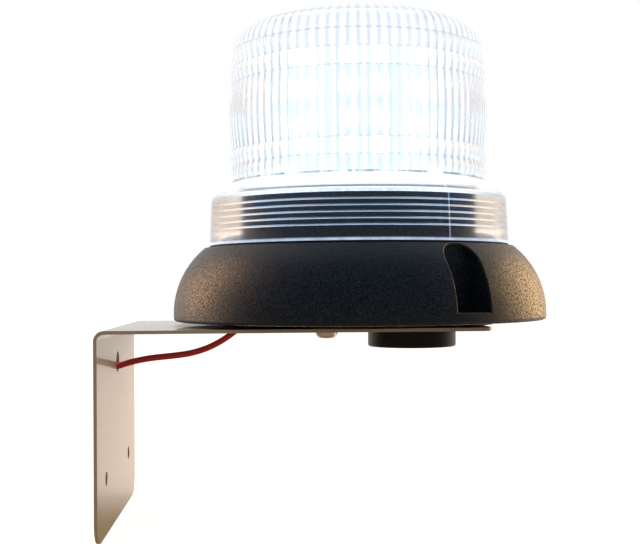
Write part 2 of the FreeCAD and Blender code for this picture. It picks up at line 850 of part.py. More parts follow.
def terminal_place():
    return Vec(-driver_board_r + terminal_depth, 0, 0)


def make_terminal_block():
    body = block(terminal_depth, terminal_length, board_top, board_top + terminal_height, terminal_place())
    mouth_z = board_top + terminal_height * terminal_mouth_share
    mouths = []
    for side in (-1, 1):
        start = terminal_place() + Vec(-terminal_depth, side * terminal_length / 4, mouth_z)
        mouths.append(Part.makeCylinder(core_d / 2, terminal_depth, start, Vec(1, 0, 0)))
    return body.cut(mouths)


def make_lead_gland():
    deck_low = spigot_top - deck_thickness
    plug = rod(gland_d / 2, deck_low, spigot_top, gland_place())
    lips = [rod(gland_d / 2 + gland_lip, spigot_top, drum_foot, gland_place()),
            rod(gland_d / 2 + gland_lip, gland_low, deck_low, gland_place())]
    bore = rod(core_offset + core_d / 2 + running_gap, gland_low, drum_foot, gland_place())
    return fused(plug, *lips).cut(bore)


# Buzzer: a flat round case under the arm, held by a nut on its threaded neck
def buzzer_place():
    return Vec(buzzer_x, 0, 0)


def make_buzzer_case():
    outer = buzzer_d / 2
    inner = outer - buzzer_wall
    inside_floor = buzzer_low + buzzer_wall
    case = turned(rounded([
        (0, buzzer_low),
        (outer, buzzer_low, buzzer_edge_r),
        (outer, buzzer_cup_top),
        (inner, buzzer_cup_top),
        (inner, sounder_low()),
        (inner - sounder_ledge, sounder_low()),
        (inner - sounder_ledge, inside_floor),
        (0, inside_floor),
    ]))
    slot = block(sound_slot_length, sound_slot_width, buzzer_low - past, inside_floor + past,
                 Vec(sound_slot_r, 0, 0))
    slots = [turn_about_axis(slot, a) for a in spread(sound_slot_count)]
    return moved(case.cut(slots), buzzer_place())


def sounder_low():
    """Height of the ledge that the sounder disc lies on."""
    return (buzzer_low + buzzer_wall + buzzer_cup_top) / 2


def make_buzzer_body():
    outer = buzzer_d / 2
    neck = buzzer_neck_d / 2
    bore = neck - buzzer_neck_wall
    low = buzzer_cup_top
    shelf = low + buzzer_flange
    outline = ((0, low), (outer, low), (outer, shelf), (neck, shelf), (neck, buzzer_neck_height),
               (bore, buzzer_neck_height), (bore, shelf), (0, shelf))
    body = moved(turned(rounded(outline)), buzzer_place())
    return body.cut([rod(buzzer_pin_d / 2, low, shelf, s) for s in buzzer_pin_spots()])


def buzzer_pin_spots():
    return [buzzer_place() + Vec(0, side * buzzer_pin_spacing / 2, 0) for side in (-1, 1)]


def make_buzzer_pins():
    high = buzzer_cup_top + buzzer_flange + buzzer_pin_height
    return together([rod(buzzer_pin_d / 2, buzzer_cup_top, high, s) for s in buzzer_pin_spots()])


def make_buzzer_leads():
    """Two thin cores from the buzzer's pins up through the spigot's gland to the driver board."""
    pin_top = buzzer_cup_top + buzzer_flange + buzzer_pin_height
    cores = []
    for side in (-1, 1):
        start = Vec(buzzer_x, side * buzzer_pin_spacing / 2, pin_top)
        end = Vec(gland_place().x + buzzer_lead_shift, side * buzzer_lead_spacing / 2, gland_low)
        points = between(start, end, buzzer_lead_bow) + [Vec(end.x, end.y, board_z)]
        cores.append(make_core("buzzer lead", points, buzzer_lead_d))
    return together(cores)


def make_buzzer_sounder():
    plate_r = buzzer_d / 2 - buzzer_wall - running_gap
    low = sounder_low()
    plate = rod(plate_r, low, low + sounder_thickness, buzzer_place())
    disc = rod(sounder_disc_d / 2, low + sounder_thickness, low + 2 * sounder_thickness, buzzer_place())
    return fused(plate, disc)


def make_buzzer_seal():
    neck = buzzer_neck_d / 2
    low = -sheet - buzzer_seal
    return ring(neck + buzzer_seal_width, neck + running_gap, low, -sheet, buzzer_place())


def make_buzzer_nut():
    nut = prism(nut_sides, buzzer_nut_width / 2, 0, buzzer_nut_height)
    return moved(nut.cut(rod(buzzer_neck_d / 2, 0, buzzer_nut_height)), buzzer_place())


# Leads: tubes along straight runs joined by tangent arcs
def rounded_route(points):
    """A wire through the route with the largest arc that each corner's two runs allow, and its radii."""
    edges = []
    radii = []
    last = points[0]
    for before, corner, after in zip(points, points[1:], points[2:]):
        back = (before - corner).normalize()
        ahead = (after - corner).normalize()
        turn = math.pi - back.getAngle(ahead)
        reach = bend_share * min((before - corner).Length, (after - corner).Length)
        radius = reach / math.tan(turn / 2)
        inward = (back + ahead).normalize()
        centre = corner + inward * (radius / math.cos(turn / 2))
        start = corner + back * reach
        end = corner + ahead * reach
        edges.append(Part.LineSegment(last, start).toShape())
        edges.append(Part.Arc(start, centre - inward * radius, end).toShape())
        radii.append(radius)
        last = end
    edges.append(Part.LineSegment(last, points[-1]).toShape())
    return Part.Wire(edges), radii


def make_core(name, points, diameter):
    """A round core along a route; prints its bends and compares its volume with section times length."""
    path, radii = rounded_route(points)
    direction = (points[1] - points[0]).normalize()
    section = Part.Wire(Part.makeCircle(diameter / 2, points[0], direction))
    tube = path.makePipeShell([section], True, False)
    expected = math.pi * diameter**2 / 4 * path.Length
    bends = ", ".join(f"{r:.1f}" for r in radii)
    print(f"{name}: length {path.Length:.1f}, volume ratio {tube.Volume / expected:.4f}, radii {bends}")
    return tube


def between(start, end, shares):
    """Route points at shares (along, up) of the way from one point to another."""
    span = end - start
    return [start + Vec(span.x * along, span.y * along, span.z * up) for along, up in shares]


def lead_route():
    """Middle of the lead's two cores in the part's own frame: down out of the arm, in a slack bow to the
    leg's hole, through it and down the wall side to the bare ends."""
    arm_hole = Vec(light_reach + lead_exit_x, 0, arm_top)
    leg_hole = Vec(0, 0, arm_top - lead_hole_drop)
    points = [arm_hole + Vec(x, 0, z) for x, z in lead_start]
    points += between(arm_hole, leg_hole, lead_bow)
    return points + [leg_hole + Vec(x, 0, z) for x, z in lead_tail]


def core_route(side):
    """One core's route, beside the other core."""
    return [p + Vec(0, side * core_offset, 0) for p in lead_route()]


def make_plate_grommet():
    spot = Vec(lead_exit_x, 0, 0)
    lip_r = grommet_hole_d / 2 + grommet_lip_width
    body = rod(grommet_hole_d / 2, -sheet, 0, spot)
    lips = [rod(lip_r, 0, grommet_lip, spot), rod(lip_r, -sheet - grommet_lip, -sheet, spot)]
    bore_r = grommet_hole_d / 2 - grommet_wall
    return fused(body, *lips).cut(rod(bore_r, -sheet - grommet_lip, grommet_lip, spot))


def make_inner_lead():
    """The cores inside the base, from the arm's hole up through the spigot's gland."""
    route = lead_route()
    start = route[0] - Vec(light_reach, 0, arm_top)
    end = Vec(gland_place().x, 0, gland_low)
    points = [start, start + (route[0] - route[1]) * inner_lead_start]
    points += between(start, end, inner_lead_bow) + [Vec(end.x, 0, board_z)]
    cores = []
    for side in (-1, 1):
        cores.append(make_core("inner lead", [p + Vec(0, side * core_offset, 0) for p in points], core_d))
    return together(cores)


def make_ferrules():
    sleeves = []
    for side in (-1, 1):
        before, end = core_route(side)[-2:]
        sleeves.append(Part.makeCylinder(ferrule_d / 2, ferrule_length, end, end - before))
    return together(sleeves)


# Nodes that stand in the light's own frame, on its axis at the arm's top
on_light = {
    "base_gasket": make_base_gasket(),
    "base_housing": make_base_housing(),
    "base_floor": make_base_floor(),
    "floor_screws": make_floor_screws(),
    "threaded_inserts": make_threaded_inserts(),
    "arm_screws": make_arm_screws(),
    "lens": make_lens(),
    "lens_seal": make_lens_seal(),
    "reflector_plate": make_reflector(),
    "lamp_drum": make_lamp_drum(),
    "drum_cap": make_drum_cap(),
    "drum_screws": make_drum_screws(),
    "driver_board": make_driver_board(),
    "board_spacers": make_board_spacers(),
    "board_screws": make_board_screws(),
    "capacitors": make_capacitors(),
    "inductor": make_inductor(),
    "control_chips": make_control_chips(),
    "terminal_block": make_terminal_block(),
    "lead_gland": make_lead_gland(),
    "inner_lead": make_inner_lead(),
    "plate_grommet": make_plate_grommet(),
    "buzzer_case": make_buzzer_case(),
    "buzzer_body": make_buzzer_body(),
    "buzzer_pins": make_buzzer_pins(),
    "buzzer_leads": make_buzzer_leads(),
    "buzzer_sounder": make_buzzer_sounder(),
    "buzzer_seal": make_buzzer_seal(),
    "buzzer_nut": make_buzzer_nut(),
}
for number, angle in enumerate(spread(drum_sides), 1):
    on_light[f"lamp_board_{number}"] = turn_about_axis(lamp_board(), angle)
    on_light[f"lamps_{number}"] = turn_about_axis(board_lamps(), angle)

# Nodes that are drawn in the part's own frame
on_wall = {
    "wall_bracket": make_wall_bracket(),
    "lead_core_red": make_core("red core", core_route(-1), core_d),
    "lead_core_black": make_core("black core", core_route(1), core_d),
    "lead_ferrules": make_ferrules(),
}

light_place = Vec(light_reach, 0, arm_top)
nodes = {name: moved(shape, light_place) for name, shape in on_light.items()}
nodes.update(on_wall)
for name, shape in nodes.items():
    shape.exportStep(f"parts/{name}.step")
    state = "valid" if shape.isValid() else "NOT VALID"
    print(f"{name}: {len(shape.Solids)} solids, {shape.Volume:.1f} mm3, {state}")
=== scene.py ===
import json
import math

import bmesh
import bpy
from mathutils import Matrix, Vector


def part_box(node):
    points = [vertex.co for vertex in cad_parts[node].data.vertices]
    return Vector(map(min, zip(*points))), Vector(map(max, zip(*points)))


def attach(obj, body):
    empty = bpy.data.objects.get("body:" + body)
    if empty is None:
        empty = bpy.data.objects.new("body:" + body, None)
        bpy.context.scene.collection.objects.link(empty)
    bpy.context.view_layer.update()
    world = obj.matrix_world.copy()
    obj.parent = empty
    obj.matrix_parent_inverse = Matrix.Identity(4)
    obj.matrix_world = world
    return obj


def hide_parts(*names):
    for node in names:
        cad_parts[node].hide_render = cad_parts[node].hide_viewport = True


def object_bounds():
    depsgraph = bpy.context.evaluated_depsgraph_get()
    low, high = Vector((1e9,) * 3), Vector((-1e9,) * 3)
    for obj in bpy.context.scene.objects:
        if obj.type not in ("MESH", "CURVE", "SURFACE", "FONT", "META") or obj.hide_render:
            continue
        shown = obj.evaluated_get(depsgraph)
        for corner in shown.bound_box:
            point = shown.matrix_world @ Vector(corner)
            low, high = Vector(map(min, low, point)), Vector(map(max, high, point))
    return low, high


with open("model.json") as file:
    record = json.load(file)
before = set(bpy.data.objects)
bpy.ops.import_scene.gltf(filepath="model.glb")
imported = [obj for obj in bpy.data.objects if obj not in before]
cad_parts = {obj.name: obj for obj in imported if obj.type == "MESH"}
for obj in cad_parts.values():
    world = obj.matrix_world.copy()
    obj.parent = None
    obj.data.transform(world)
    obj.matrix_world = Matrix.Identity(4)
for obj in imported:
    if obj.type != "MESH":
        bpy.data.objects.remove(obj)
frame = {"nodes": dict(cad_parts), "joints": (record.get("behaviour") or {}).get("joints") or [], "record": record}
cad_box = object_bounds()

# A warning light on a wall bracket. Metres, in the part's own frame: +X from the wall to the light, +Z up.
MM = 0.001
BASE_BODY = "bracket_and_base"
LENS_BODY = "lens_cover"

lens_joint = next(j for j in frame["joints"] if j["name"] == "lens_turn")
AXIS_X = lens_joint["pos_m"][0]
LENS_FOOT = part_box("lens")[0].z

# Camera: where it stands, how it is turned, and its focal length over a frame 640 wide
PHOTO_WIDTH = 640
FOCAL_PIXELS = 1050.0
SENSOR = 36.0
CAMERA_NEAR = 10.0 * MM
CAMERA_PLACE = Vector((75.25, -514.1, 87.22)) * MM
CAMERA_YAW = math.radians(2.763)
CAMERA_PITCH = math.radians(0.565)
CAMERA_ROLL = math.radians(-0.40)

# Lens sizes; heights are above the foot that sits in the base, and beads are a count and a pitch
LENS_WALL = 2.6 * MM
FOOT_OUTER_R = 70.6 * MM
FOOT_INNER_R = 67.2 * MM
FOOT_STEP = 1.0 * MM
COLLAR_LOW = 9.5 * MM
COLLAR_TOP = 32.0 * MM
COLLAR_FOOT_R = 72.6 * MM
COLLAR_TOP_R = 71.6 * MM
COLLAR_EDGE_R = 2.0 * MM
COLLAR_WALL = 3.9 * MM
COLLAR_ROOF = 1.6 * MM
COLLAR_RIBS = 5
COLLAR_RIB_PITCH = 2.8 * MM
COLLAR_RIB_WIDTH = 0.9 * MM
COLLAR_RIB_DEPTH = 0.5 * MM
NECK = 40.0 * MM
NECK_ROOF = 0.8 * MM
GROOVE_R = 61.6 * MM
LOW_BEADS = (2, 7.6 * MM)
BARREL_HEIGHT = 31.5 * MM
TOP_BEADS = (2, 8.0 * MM)
BEAD_BULGE = 1.0 * MM
BARREL_BULGE = 1.6 * MM
CROWN_CORNER_R = 12.0 * MM
CROWN_R = 130.0 * MM
FLUTES = 84
FLUTE_DEPTH = 0.5 * MM
FLUTE_RUN_OUT = 6.0 * MM
PARTING_ANGLE = math.radians(-61.7)
PARTING_HEIGHT = 0.16 * MM
GROOVES = [NECK]
for bead_count, bead_pitch in (LOW_BEADS, (1, BARREL_HEIGHT), TOP_BEADS):
    GROOVES += [GROOVES[-1] + bead_pitch * (i + 1) for i in range(bead_count)]
BARREL_TOP = GROOVES[LOW_BEADS[0] + 1]

# How finely the lens is divided: columns of a flute, and rows of each stretch of its profiles
FLUTE_COLUMNS = 8
COLLAR_ROWS = 8
COLLAR_EDGE_ROWS = 5
BEAD_ROWS = 6
BARREL_ROWS = 12
CROWN_ROWS = 12
FLUTE_ROWS = 8
FLUTE_FADE_ROWS = 18
RUN_OUT_SHARES = (0.0, 0.25, 0.6, 0.88)
LENS_CREASE = math.radians(28.0)

# Painted lines on the lens, shade along its grooves and neck and a highlight along its parting line: how far off a
# line is still full and where it is gone, in metres or radians
GROOVE_SHADE_LINE = (0.15 * MM, 0.60 * MM)
NECK_SHADE_LINE = (0.25 * MM, 0.80 * MM)
PARTING_HIGHLIGHT_LINE = (0.002, 0.006)
PARTING_LIGHT = 0.5

# Zones of the lens's painted light and shade, by height, radius or way from a flute's crest: where each starts and
# is full
LOW_EDGE_FROM = (COLLAR_LOW - 0.2 * MM, COLLAR_LOW)
LOW_EDGE_TO = (COLLAR_LOW + 0.7 * MM, COLLAR_LOW + 1.6 * MM)
COLLAR_SKIN = (COLLAR_TOP_R - COLLAR_WALL, COLLAR_TOP_R - 1.0 * MM)
SHOULDER_ZONE = (COLLAR_TOP - 1.0 * MM, COLLAR_TOP + 1.0 * MM)
DOME_ZONE = (COLLAR_TOP, NECK + FLUTE_RUN_OUT)
CROWN_ZONE = (BARREL_TOP, GROOVES[-1])
FLUTE_VALLEY = (0.30, 0.90)
GROOVE_DASH = (0.0, 0.5)

# Patches of painted shade at the lens's neck and specks in the base's grain by level of noise, and the spigot by
# height
NECK_SHADE_PATCH = (0.40, 0.60)
GRAIN_SPECK = (0.42, 0.62)
SPIGOT_ZONE = (LENS_FOOT + COLLAR_LOW, LENS_FOOT + COLLAR_LOW + 1.0 * MM)

# Lead: its two cores, and points (X, Z) of their route in millimetres
CORE_D = 2.9 * MM
CORE_OFFSET = 1.5 * MM
CORE_ROUNDNESS = 6
ROUTE_ORDER = 3
ROUTE_STEPS = 12
LEAD_ROUTE = (
    (64.5, 69.4), (60.2, 65.6), (55.6, 62.0), (50.33, 58.65), (44.2, 55.74), (36.47, 53.5), (27.52, 52.43),
    (17.47, 51.56), (9.01, 50.0), (2.5, 48.1), (-1.54, 46.63), (-4.63, 43.64), (-6.32, 39.47), (-6.9, 31.5),
    (-6.2, 20.0), (-6.1, 6.5), (-6.65, -6.5),
)

# Sleeve on a core's end: rows from the core outward, as a share of its length, its width and its squareness
SLEEVE_R = 0.8 * MM
SLEEVE_LENGTH = 9.0 * MM
SLEEVE_SIDES = 24
CRIMP_CORNERS = 4
SLEEVE_CREASE = math.radians(40.0)
SLEEVE_ROUND = (1.0, 0.0)
SLEEVE_CRIMP = (0.86, 0.14)
SLEEVE_TIP = (0.9, 0.0)
SLEEVE_ROWS = (
    (0.0, SLEEVE_ROUND), (0.16, SLEEVE_ROUND), (0.22, SLEEVE_CRIMP), (0.70, SLEEVE_CRIMP),
    (0.76, SLEEVE_ROUND), (0.97, SLEEVE_ROUND), (1.0, SLEEVE_TIP),
)

# Stage: the room's light against the white backdrop's 1, and where gloss and glass show white, tan or blue
ROOM = 0.28
BACKDROP_TAN = (0.80, 0.52, 0.28, 1.0)
FRONT_BLUE = (0.50, 0.78, 1.15, 1.0)
WHITE_IN_GLASS = (-1.6, 0.6)
WHITE_IN_GLOSS = (-0.1, 0.4)
WALL_BEHIND = (0.6, 0.9)
WALL_TOP = (0.072, 0.088)
FLOOR_HALF = 4.0
FLOOR_GAP = 0.2 * MM
FLOOR_DEPTH_PER_METRE = 4.0
FLOOR_TAN_SHARE = 0.4

# Soft panels of light that face one point: place, width and height, colour, and power in watts
PANEL_AIM = Vector((AXIS_X, 0.0, LENS_FOOT))
LEFT_PLACE = (-0.96, 0.53, 0.45)
LEFT_SIZE = (0.55, 0.90)
PANELS = {
    "right_panel": ((1.20, 0.54, 0.30), (0.85, 0.75), (1.0, 0.59, 0.24), 17.5),
    "left_panel": (LEFT_PLACE, LEFT_SIZE, (1.0, 0.56, 0.29), 14.0),
    "paint_right": ((1.20, 0.70, 0.25), (0.60, 0.65), (1.0, 0.80, 0.57), 9.0),
    "paint_left": (LEFT_PLACE, LEFT_SIZE, (1.0, 0.93, 0.86), 9.0),
    "top_panel": ((0.10, 0.25, 1.10), (0.9, 0.9), (0.97, 0.98, 1.0), 2.4),
}

# Sockets of a colour Mix node: its share, its two colours and its result
MIX_SHARE = 0
MIX_FIRST = 6
MIX_SECOND = 7
MIX_RESULT = 2


class Value:
    """A shader socket that takes part in Python arithmetic."""

    def __init__(self, nodes, socket):
        self.nodes = nodes
        self.socket = socket

    def maths(self, operation, *numbers):
        return self.nodes.node("ShaderNodeMath", {"operation": operation}, dict(enumerate(numbers)))

    def __add__(self, other):
        return self.maths("ADD", self, other)

    def __sub__(self, other):
        return self.maths("SUBTRACT", self, other)

    def __rsub__(self, other):
        return self.maths("SUBTRACT", other, self)

    def __mul__(self, other):
        return self.maths("MULTIPLY", self, other)

    __radd__ = __add__
    __rmul__ = __mul__

    def or_more(self, other):
        return self.maths("MAXIMUM", self, other)

    def within_one(self):
        """What is left over after whole steps."""
        return self.maths("FRACT", self)

    def size(self):
        return self.maths("ABSOLUTE", self)

    def heading(self, across):
        """The angle of a point whose other coordinate is across."""
        return self.maths("ARCTAN2", self, across)


class Nodes:
    """A node tree that is built one node at a time."""

    def __init__(self, tree):
        self.tree = tree

    def node(self, kind, settings=None, inputs=None, output=0):
        """Add a node: its settings first, then its sockets' numbers or links; gives one of its outputs."""
        made = self.tree.nodes.new(kind)
        for key, value in (settings or {}).items():
            setattr(made, key, value)
        for key, value in (inputs or {}).items():
            self.put(made.inputs[key], value)
        return Value(self, made.outputs[output])

    def put(self, socket, value):
        """Link a value to a socket, or set the socket to a number or colour."""
        if isinstance(value, Value):
            self.tree.links.new(value.socket, socket)
        else:
            socket.default_value = value

    def ramp(self, value, low, high):
        """0 below low, 1 above high, with a smooth step between."""
        inputs = {"Value": value, "From Min": low, "From Max": high}
        return self.node("ShaderNodeMapRange", {"interpolation_type": "SMOOTHSTEP"}, inputs)

    def line(self, offset, full, gone):
        """1 along a line and 0 away from it."""
        return 1 - self.ramp(offset.size(), full, gone)

    def mix(self, share, first, second):
        """The first colour where share is 0, the second where it is 1."""
        inputs = {MIX_SHARE: share, MIX_FIRST: first, MIX_SECOND: second}
        return self.node("ShaderNodeMix", {"data_type": "RGBA"}, inputs, MIX_RESULT)

    def part_of(self, vector, axis):
        """One coordinate of a vector."""
        return self.node("ShaderNodeSeparateXYZ", {}, {"Vector": vector}, axis)

    def ray(self, kind):
        """1 for rays of this kind, 0 for others."""
        return self.node("ShaderNodeLightPath", output=f"Is {kind} Ray")

    def shows_white(self, depth):
        """1 for what the camera sees, and for the far end of depth where gloss or glass shows it."""
        through_glass = self.ray("Transmission") * self.ramp(depth, *WHITE_IN_GLASS)
        in_gloss = self.ray("Glossy") * self.ramp(depth, *WHITE_IN_GLOSS)
        return self.ray("Camera").or_more(through_glass).or_more(in_gloss)


class Finish(Nodes):
    """One procedural material around a Principled shader."""

    def __init__(self, name, surface):
        self.name = name
        self.material = bpy.data.materials.new(name)
        self.material.use_nodes = True
        super().__init__(self.material.node_tree)
        self.shader = self.tree.nodes["Principled BSDF"]
        self.place = self.node("ShaderNodeTexCoord", output="Object")
        self.surface(surface)

    def surface(self, inputs):
        """Set or link the shader's sockets by name."""
        for key, value in inputs.items():
            self.put(self.shader.inputs[key], value)

    def noise(self, scale, detail=3.0, roughness=0.5):
        """Noise between 0 and 1 over the piece's own coordinates."""
        inputs = {"Vector": self.place, "Scale": scale, "Detail": detail, "Roughness": roughness}
        return self.node("ShaderNodeTexNoise", {}, inputs, "Fac")

    def bump(self, height, strength, distance):
        """Tilt the surface's normals as if it stood out by height."""
        inputs = {"Height": height, "Strength": strength, "Distance": distance}
        self.surface({"Normal": self.node("ShaderNodeBump", {}, inputs, "Normal")})


def rgb(red, green, blue):
    """A full colour in linear light."""
    return (red, green, blue, 1.0)


# Finishes
def bracket_paint():
    """Beige powder coat: a fine orange peel under a clear semi-gloss skin, a little uneven in tone."""
    paint = Finish("bracket_paint", {
        "Coat Weight": 0.4,
        "Coat Roughness": 0.05,
        "Specular IOR Level": 0.25,
    })
    tone = paint.noise(scale=9.0, detail=4.0, roughness=0.6)
    speck = paint.noise(scale=900.0, detail=2.0)
    paint.surface({
        "Base Color": paint.mix(tone, rgb(0.465, 0.420, 0.340), rgb(0.52, 0.473, 0.388)),
        "Roughness": 0.34 + 0.12 * speck,
    })
    paint.bump(paint.noise(scale=520.0, detail=2.0), strength=0.05, distance=0.1 * MM)
    return paint


def base_grain():
    """Black moulding with a fine eroded grain that catches light from the side, its specks tinted blue as a
    painted reflection of the lens's glow; its spigot is duller.
    """
    black = Finish("base_plastic", {
        "Specular IOR Level": 0.34,
        "Specular Tint": rgb(0.80, 0.92, 1.0),
        "Sheen Weight": 0.06,
        "Sheen Roughness": 0.30,
        "Sheen Tint": rgb(1.0, 0.80, 0.58),
    })
    grain = black.noise(scale=1500.0, detail=2.0, roughness=0.6)
    speck = black.ramp(grain, *GRAIN_SPECK)
    spigot = black.ramp(black.part_of(black.place, "Z"), *SPIGOT_ZONE)
    black.surface({
        # Real grain specks, tinted blue as a painted reflection of the lens's glow on the base
        "Base Color": black.mix(speck, rgb(0.001, 0.0015, 0.0025), rgb(0.022, 0.032, 0.050)),
        "Roughness": 0.34 + 0.36 * speck + 0.28 * spigot,
    })
    black.bump(grain, strength=1.0, distance=0.15 * MM)
    return black


def buzzer_plastic():
    """Smooth black moulding with faint flow marks."""
    black = Finish("buzzer_plastic", {"Specular IOR Level": 0.25})
    flow = black.noise(scale=60.0, detail=4.0, roughness=0.6)
    black.surface({
        "Base Color": black.mix(flow, rgb(0.0049, 0.0049, 0.00525), rgb(0.007, 0.007, 0.007)),
        "Roughness": 0.38 + 0.15 * flow,
    })
    black.bump(black.noise(scale=1800.0, detail=2.0), strength=0.08, distance=0.05 * MM)
    return black


def rubber():
    """Dull black rubber with a little dust on it."""
    black = Finish("black_rubber", {"Specular IOR Level": 0.2})
    dust = black.noise(scale=220.0, detail=5.0, roughness=0.7)
    black.surface({
        "Base Color": black.mix(dust, rgb(0.008, 0.008, 0.008), rgb(0.022, 0.021, 0.020)),
        "Roughness": 0.7 + 0.2 * dust,
    })
    return black


def plain_plastic(name, low, high, rough, scale=40.0, glow=0.0):
    """A moulding whose tone drifts between two colours; glow is painted light, emission in its own tone that
    stands in for the lamps' light it scatters.
    """
    plastic = Finish(name, {"Emission Strength": glow})
    drift = plastic.noise(scale=scale, detail=4.0, roughness=0.6)
    tone = plastic.mix(drift, low, high)
    plastic.surface({"Base Color": tone, "Roughness": rough + 0.12 * drift})
    # Painted glow, in the moulding's own tone
    if glow:
        plastic.surface({"Emission Color": tone})
    return plastic


def metal(name, low, high):
    """Bare metal with fine streaks."""
    made = Finish(name, {"Metallic": 1.0})
    streak = made.noise(scale=400.0, detail=4.0, roughness=0.7)
    made.surface({"Base Color": made.mix(streak, low, high), "Roughness": 0.25 + 0.2 * streak})
    return made


def lit_lamp():
    """A lit lamp, cool white."""
    lamp = Finish("lamp", {"Roughness": 0.3, "Emission Strength": 2.6})
    glow = lamp.noise(scale=700.0, detail=1.0)
    colour = lamp.mix(glow, rgb(0.80, 0.92, 1.0), rgb(0.94, 0.98, 1.0))
    lamp.surface({"Base Color": colour, "Emission Color": colour})
    return lamp


def wire_skin(name, low, high):
    """Soft insulation, slightly uneven."""
    insulation = Finish(name, {"Specular IOR Level": 0.35})
    drift = insulation.noise(scale=160.0, detail=3.0, roughness=0.6)
    insulation.surface({"Base Color": insulation.mix(drift, low, high), "Roughness": 0.42 + 0.15 * drift})
    insulation.bump(insulation.noise(scale=1200.0, detail=2.0), strength=0.06, distance=0.05 * MM)
    return insulation


def lens_tint_and_painted_shade(lens, height, from_crest, valley):
    """The lens's colour: clear, with painted shade in blue-grey where flutes meet and along its grooves, and dark
    painted shade in patches at its neck.
    """
    cast = lens.noise(scale=25.0, detail=3.0)
    clear = lens.mix(cast, rgb(0.945, 0.96, 0.98), rgb(0.97, 0.975, 0.99))
    # Painted shade: blue-grey in the flute valleys of the dome
    clear_with_valley_shade = lens.mix(valley, clear, rgb(0.62, 0.69, 0.77))
    # Painted shade along each groove, in dashes off the flutes' crests
    off_groove = 1.0
    for groove in GROOVES:
        off_groove = lens.ramp((height - groove).size(), *GROOVE_SHADE_LINE) * off_groove
    groove_shade_line = (1 - off_groove) * lens.ramp(from_crest, *GROOVE_DASH)
    with_groove_shade = lens.mix(groove_shade_line, clear_with_valley_shade, rgb(0.50, 0.56, 0.66))
    # Dark painted shade in patches along the neck
    neck_shade_patch = lens.ramp(lens.noise(scale=90.0, detail=3.0, roughness=0.7), *NECK_SHADE_PATCH)
    return lens.mix(lens.line(height - NECK, *NECK_SHADE_LINE) * neck_shade_patch, with_groove_shade, rgb(0.06, 0.10, 0.13))


def lens_painted_glow(lens, height, dome, valley):
    """Painted glow: emission standing in for the lamps' light that the lens scatters above its collar, stronger in
    its flute valleys.
    """
    shoulder = lens.mix(lens.ramp(height, *SHOULDER_ZONE), rgb(0.0, 0.0, 0.0), rgb(0.11, 0.125, 0.13))
    barrel = lens.mix(valley, rgb(0.042, 0.045, 0.048), rgb(0.118, 0.126, 0.135))
    above = lens.mix(lens.ramp(height, *CROWN_ZONE), barrel, rgb(0.090, 0.094, 0.097))
    return lens.mix(dome, shoulder, above)


def lens_painted_edge_highlight(lens, height, turn, radius_squared):
    """How much painted highlight the collar's lower edge and its parting line get."""
    low_edge = lens.ramp(height, *LOW_EDGE_FROM) - lens.ramp(height, *LOW_EDGE_TO)
    collar_skin = lens.ramp(radius_squared, *(radius**2 for radius in COLLAR_SKIN))
    parting = lens.line(turn - PARTING_ANGLE, *PARTING_HIGHLIGHT_LINE) * collar_skin
    return (low_edge * lens.noise(scale=140.0, detail=4.0, roughness=0.7)).or_more(PARTING_LIGHT * parting)


def clear_lens():
    """Clear moulding with a blue-grey cast and painted shade in its flutes, grooves and neck; the lamps' light is
    painted as glow in its dome and as a highlight on its collar's edge and parting line.
    """
    lens = Finish("clear_lens", {
        "Transmission Weight": 1.0,
        "IOR": 1.49,
        "Specular Tint": rgb(0.75, 0.80, 0.90),
        "Emission Strength": 1.0,
    })
    x, y, z = (lens.part_of(lens.place, axis) for axis in "XYZ")
    across = x - AXIS_X
    height = z - LENS_FOOT
    turn = y.heading(across)
    from_crest = (2 * (turn * (FLUTES / (2 * math.pi))).within_one() - 1).size()
    dome = lens.ramp(height, *DOME_ZONE)
    valley = lens.ramp(from_crest, *FLUTE_VALLEY) * dome
    glow = lens_painted_glow(lens, height, dome, valley)
    painted_edge_highlight = lens_painted_edge_highlight(lens, height, turn, across * across + y * y)
    lens.surface({
        "Base Color": lens_tint_and_painted_shade(lens, height, from_crest, valley),
        "Roughness": 0.08 + 0.08 * lens.noise(scale=90.0, detail=3.0),
        # Emission: painted glow above the collar, and a painted highlight on the collar's lower edge and parting
        # line
        "Emission Color": lens.mix(painted_edge_highlight, glow, rgb(0.45, 0.56, 0.72)),
    })
    return lens


finishes = {finish.name: finish for finish in (
    bracket_paint(),
    base_grain(),
    rubber(),
    clear_lens(),
    # The white drum parts and boards get painted glow: emission, though they are no lamps
    plain_plastic("white_plastic", rgb(0.80, 0.84, 0.88), rgb(0.88, 0.91, 0.94), rough=0.35, glow=0.72),
    plain_plastic("white_board", rgb(0.78, 0.83, 0.87), rgb(0.86, 0.90, 0.93), rough=0.30, scale=300.0,
                  glow=0.70),
    lit_lamp(),
    plain_plastic("green_board", rgb(0.015, 0.13, 0.05), rgb(0.03, 0.20, 0.08), rough=0.30, scale=500.0),
    metal("zinc_steel", rgb(0.58, 0.58, 0.56), rgb(0.74, 0.74, 0.72)),
    metal("brass", rgb(0.62, 0.45, 0.18), rgb(0.78, 0.60, 0.28)),
    plain_plastic("capacitor_sleeve", rgb(0.02, 0.025, 0.05), rgb(0.03, 0.04, 0.08), rough=0.25),
    plain_plastic("dark_core", rgb(0.04, 0.04, 0.042), rgb(0.07, 0.07, 0.072), rough=0.6, scale=600.0),
    plain_plastic("chip_black", rgb(0.012, 0.012, 0.012), rgb(0.025, 0.025, 0.025), rough=0.55, scale=900.0),
    plain_plastic("terminal_plastic", rgb(0.03, 0.22, 0.11), rgb(0.05, 0.30, 0.16), rough=0.4),
    buzzer_plastic(),
    wire_skin("red_wire", rgb(0.58, 0.045, 0.060), rgb(0.66, 0.055, 0.072)),
    wire_skin("black_wire", rgb(0.008, 0.008, 0.009), rgb(0.018, 0.018, 0.019)),
)}
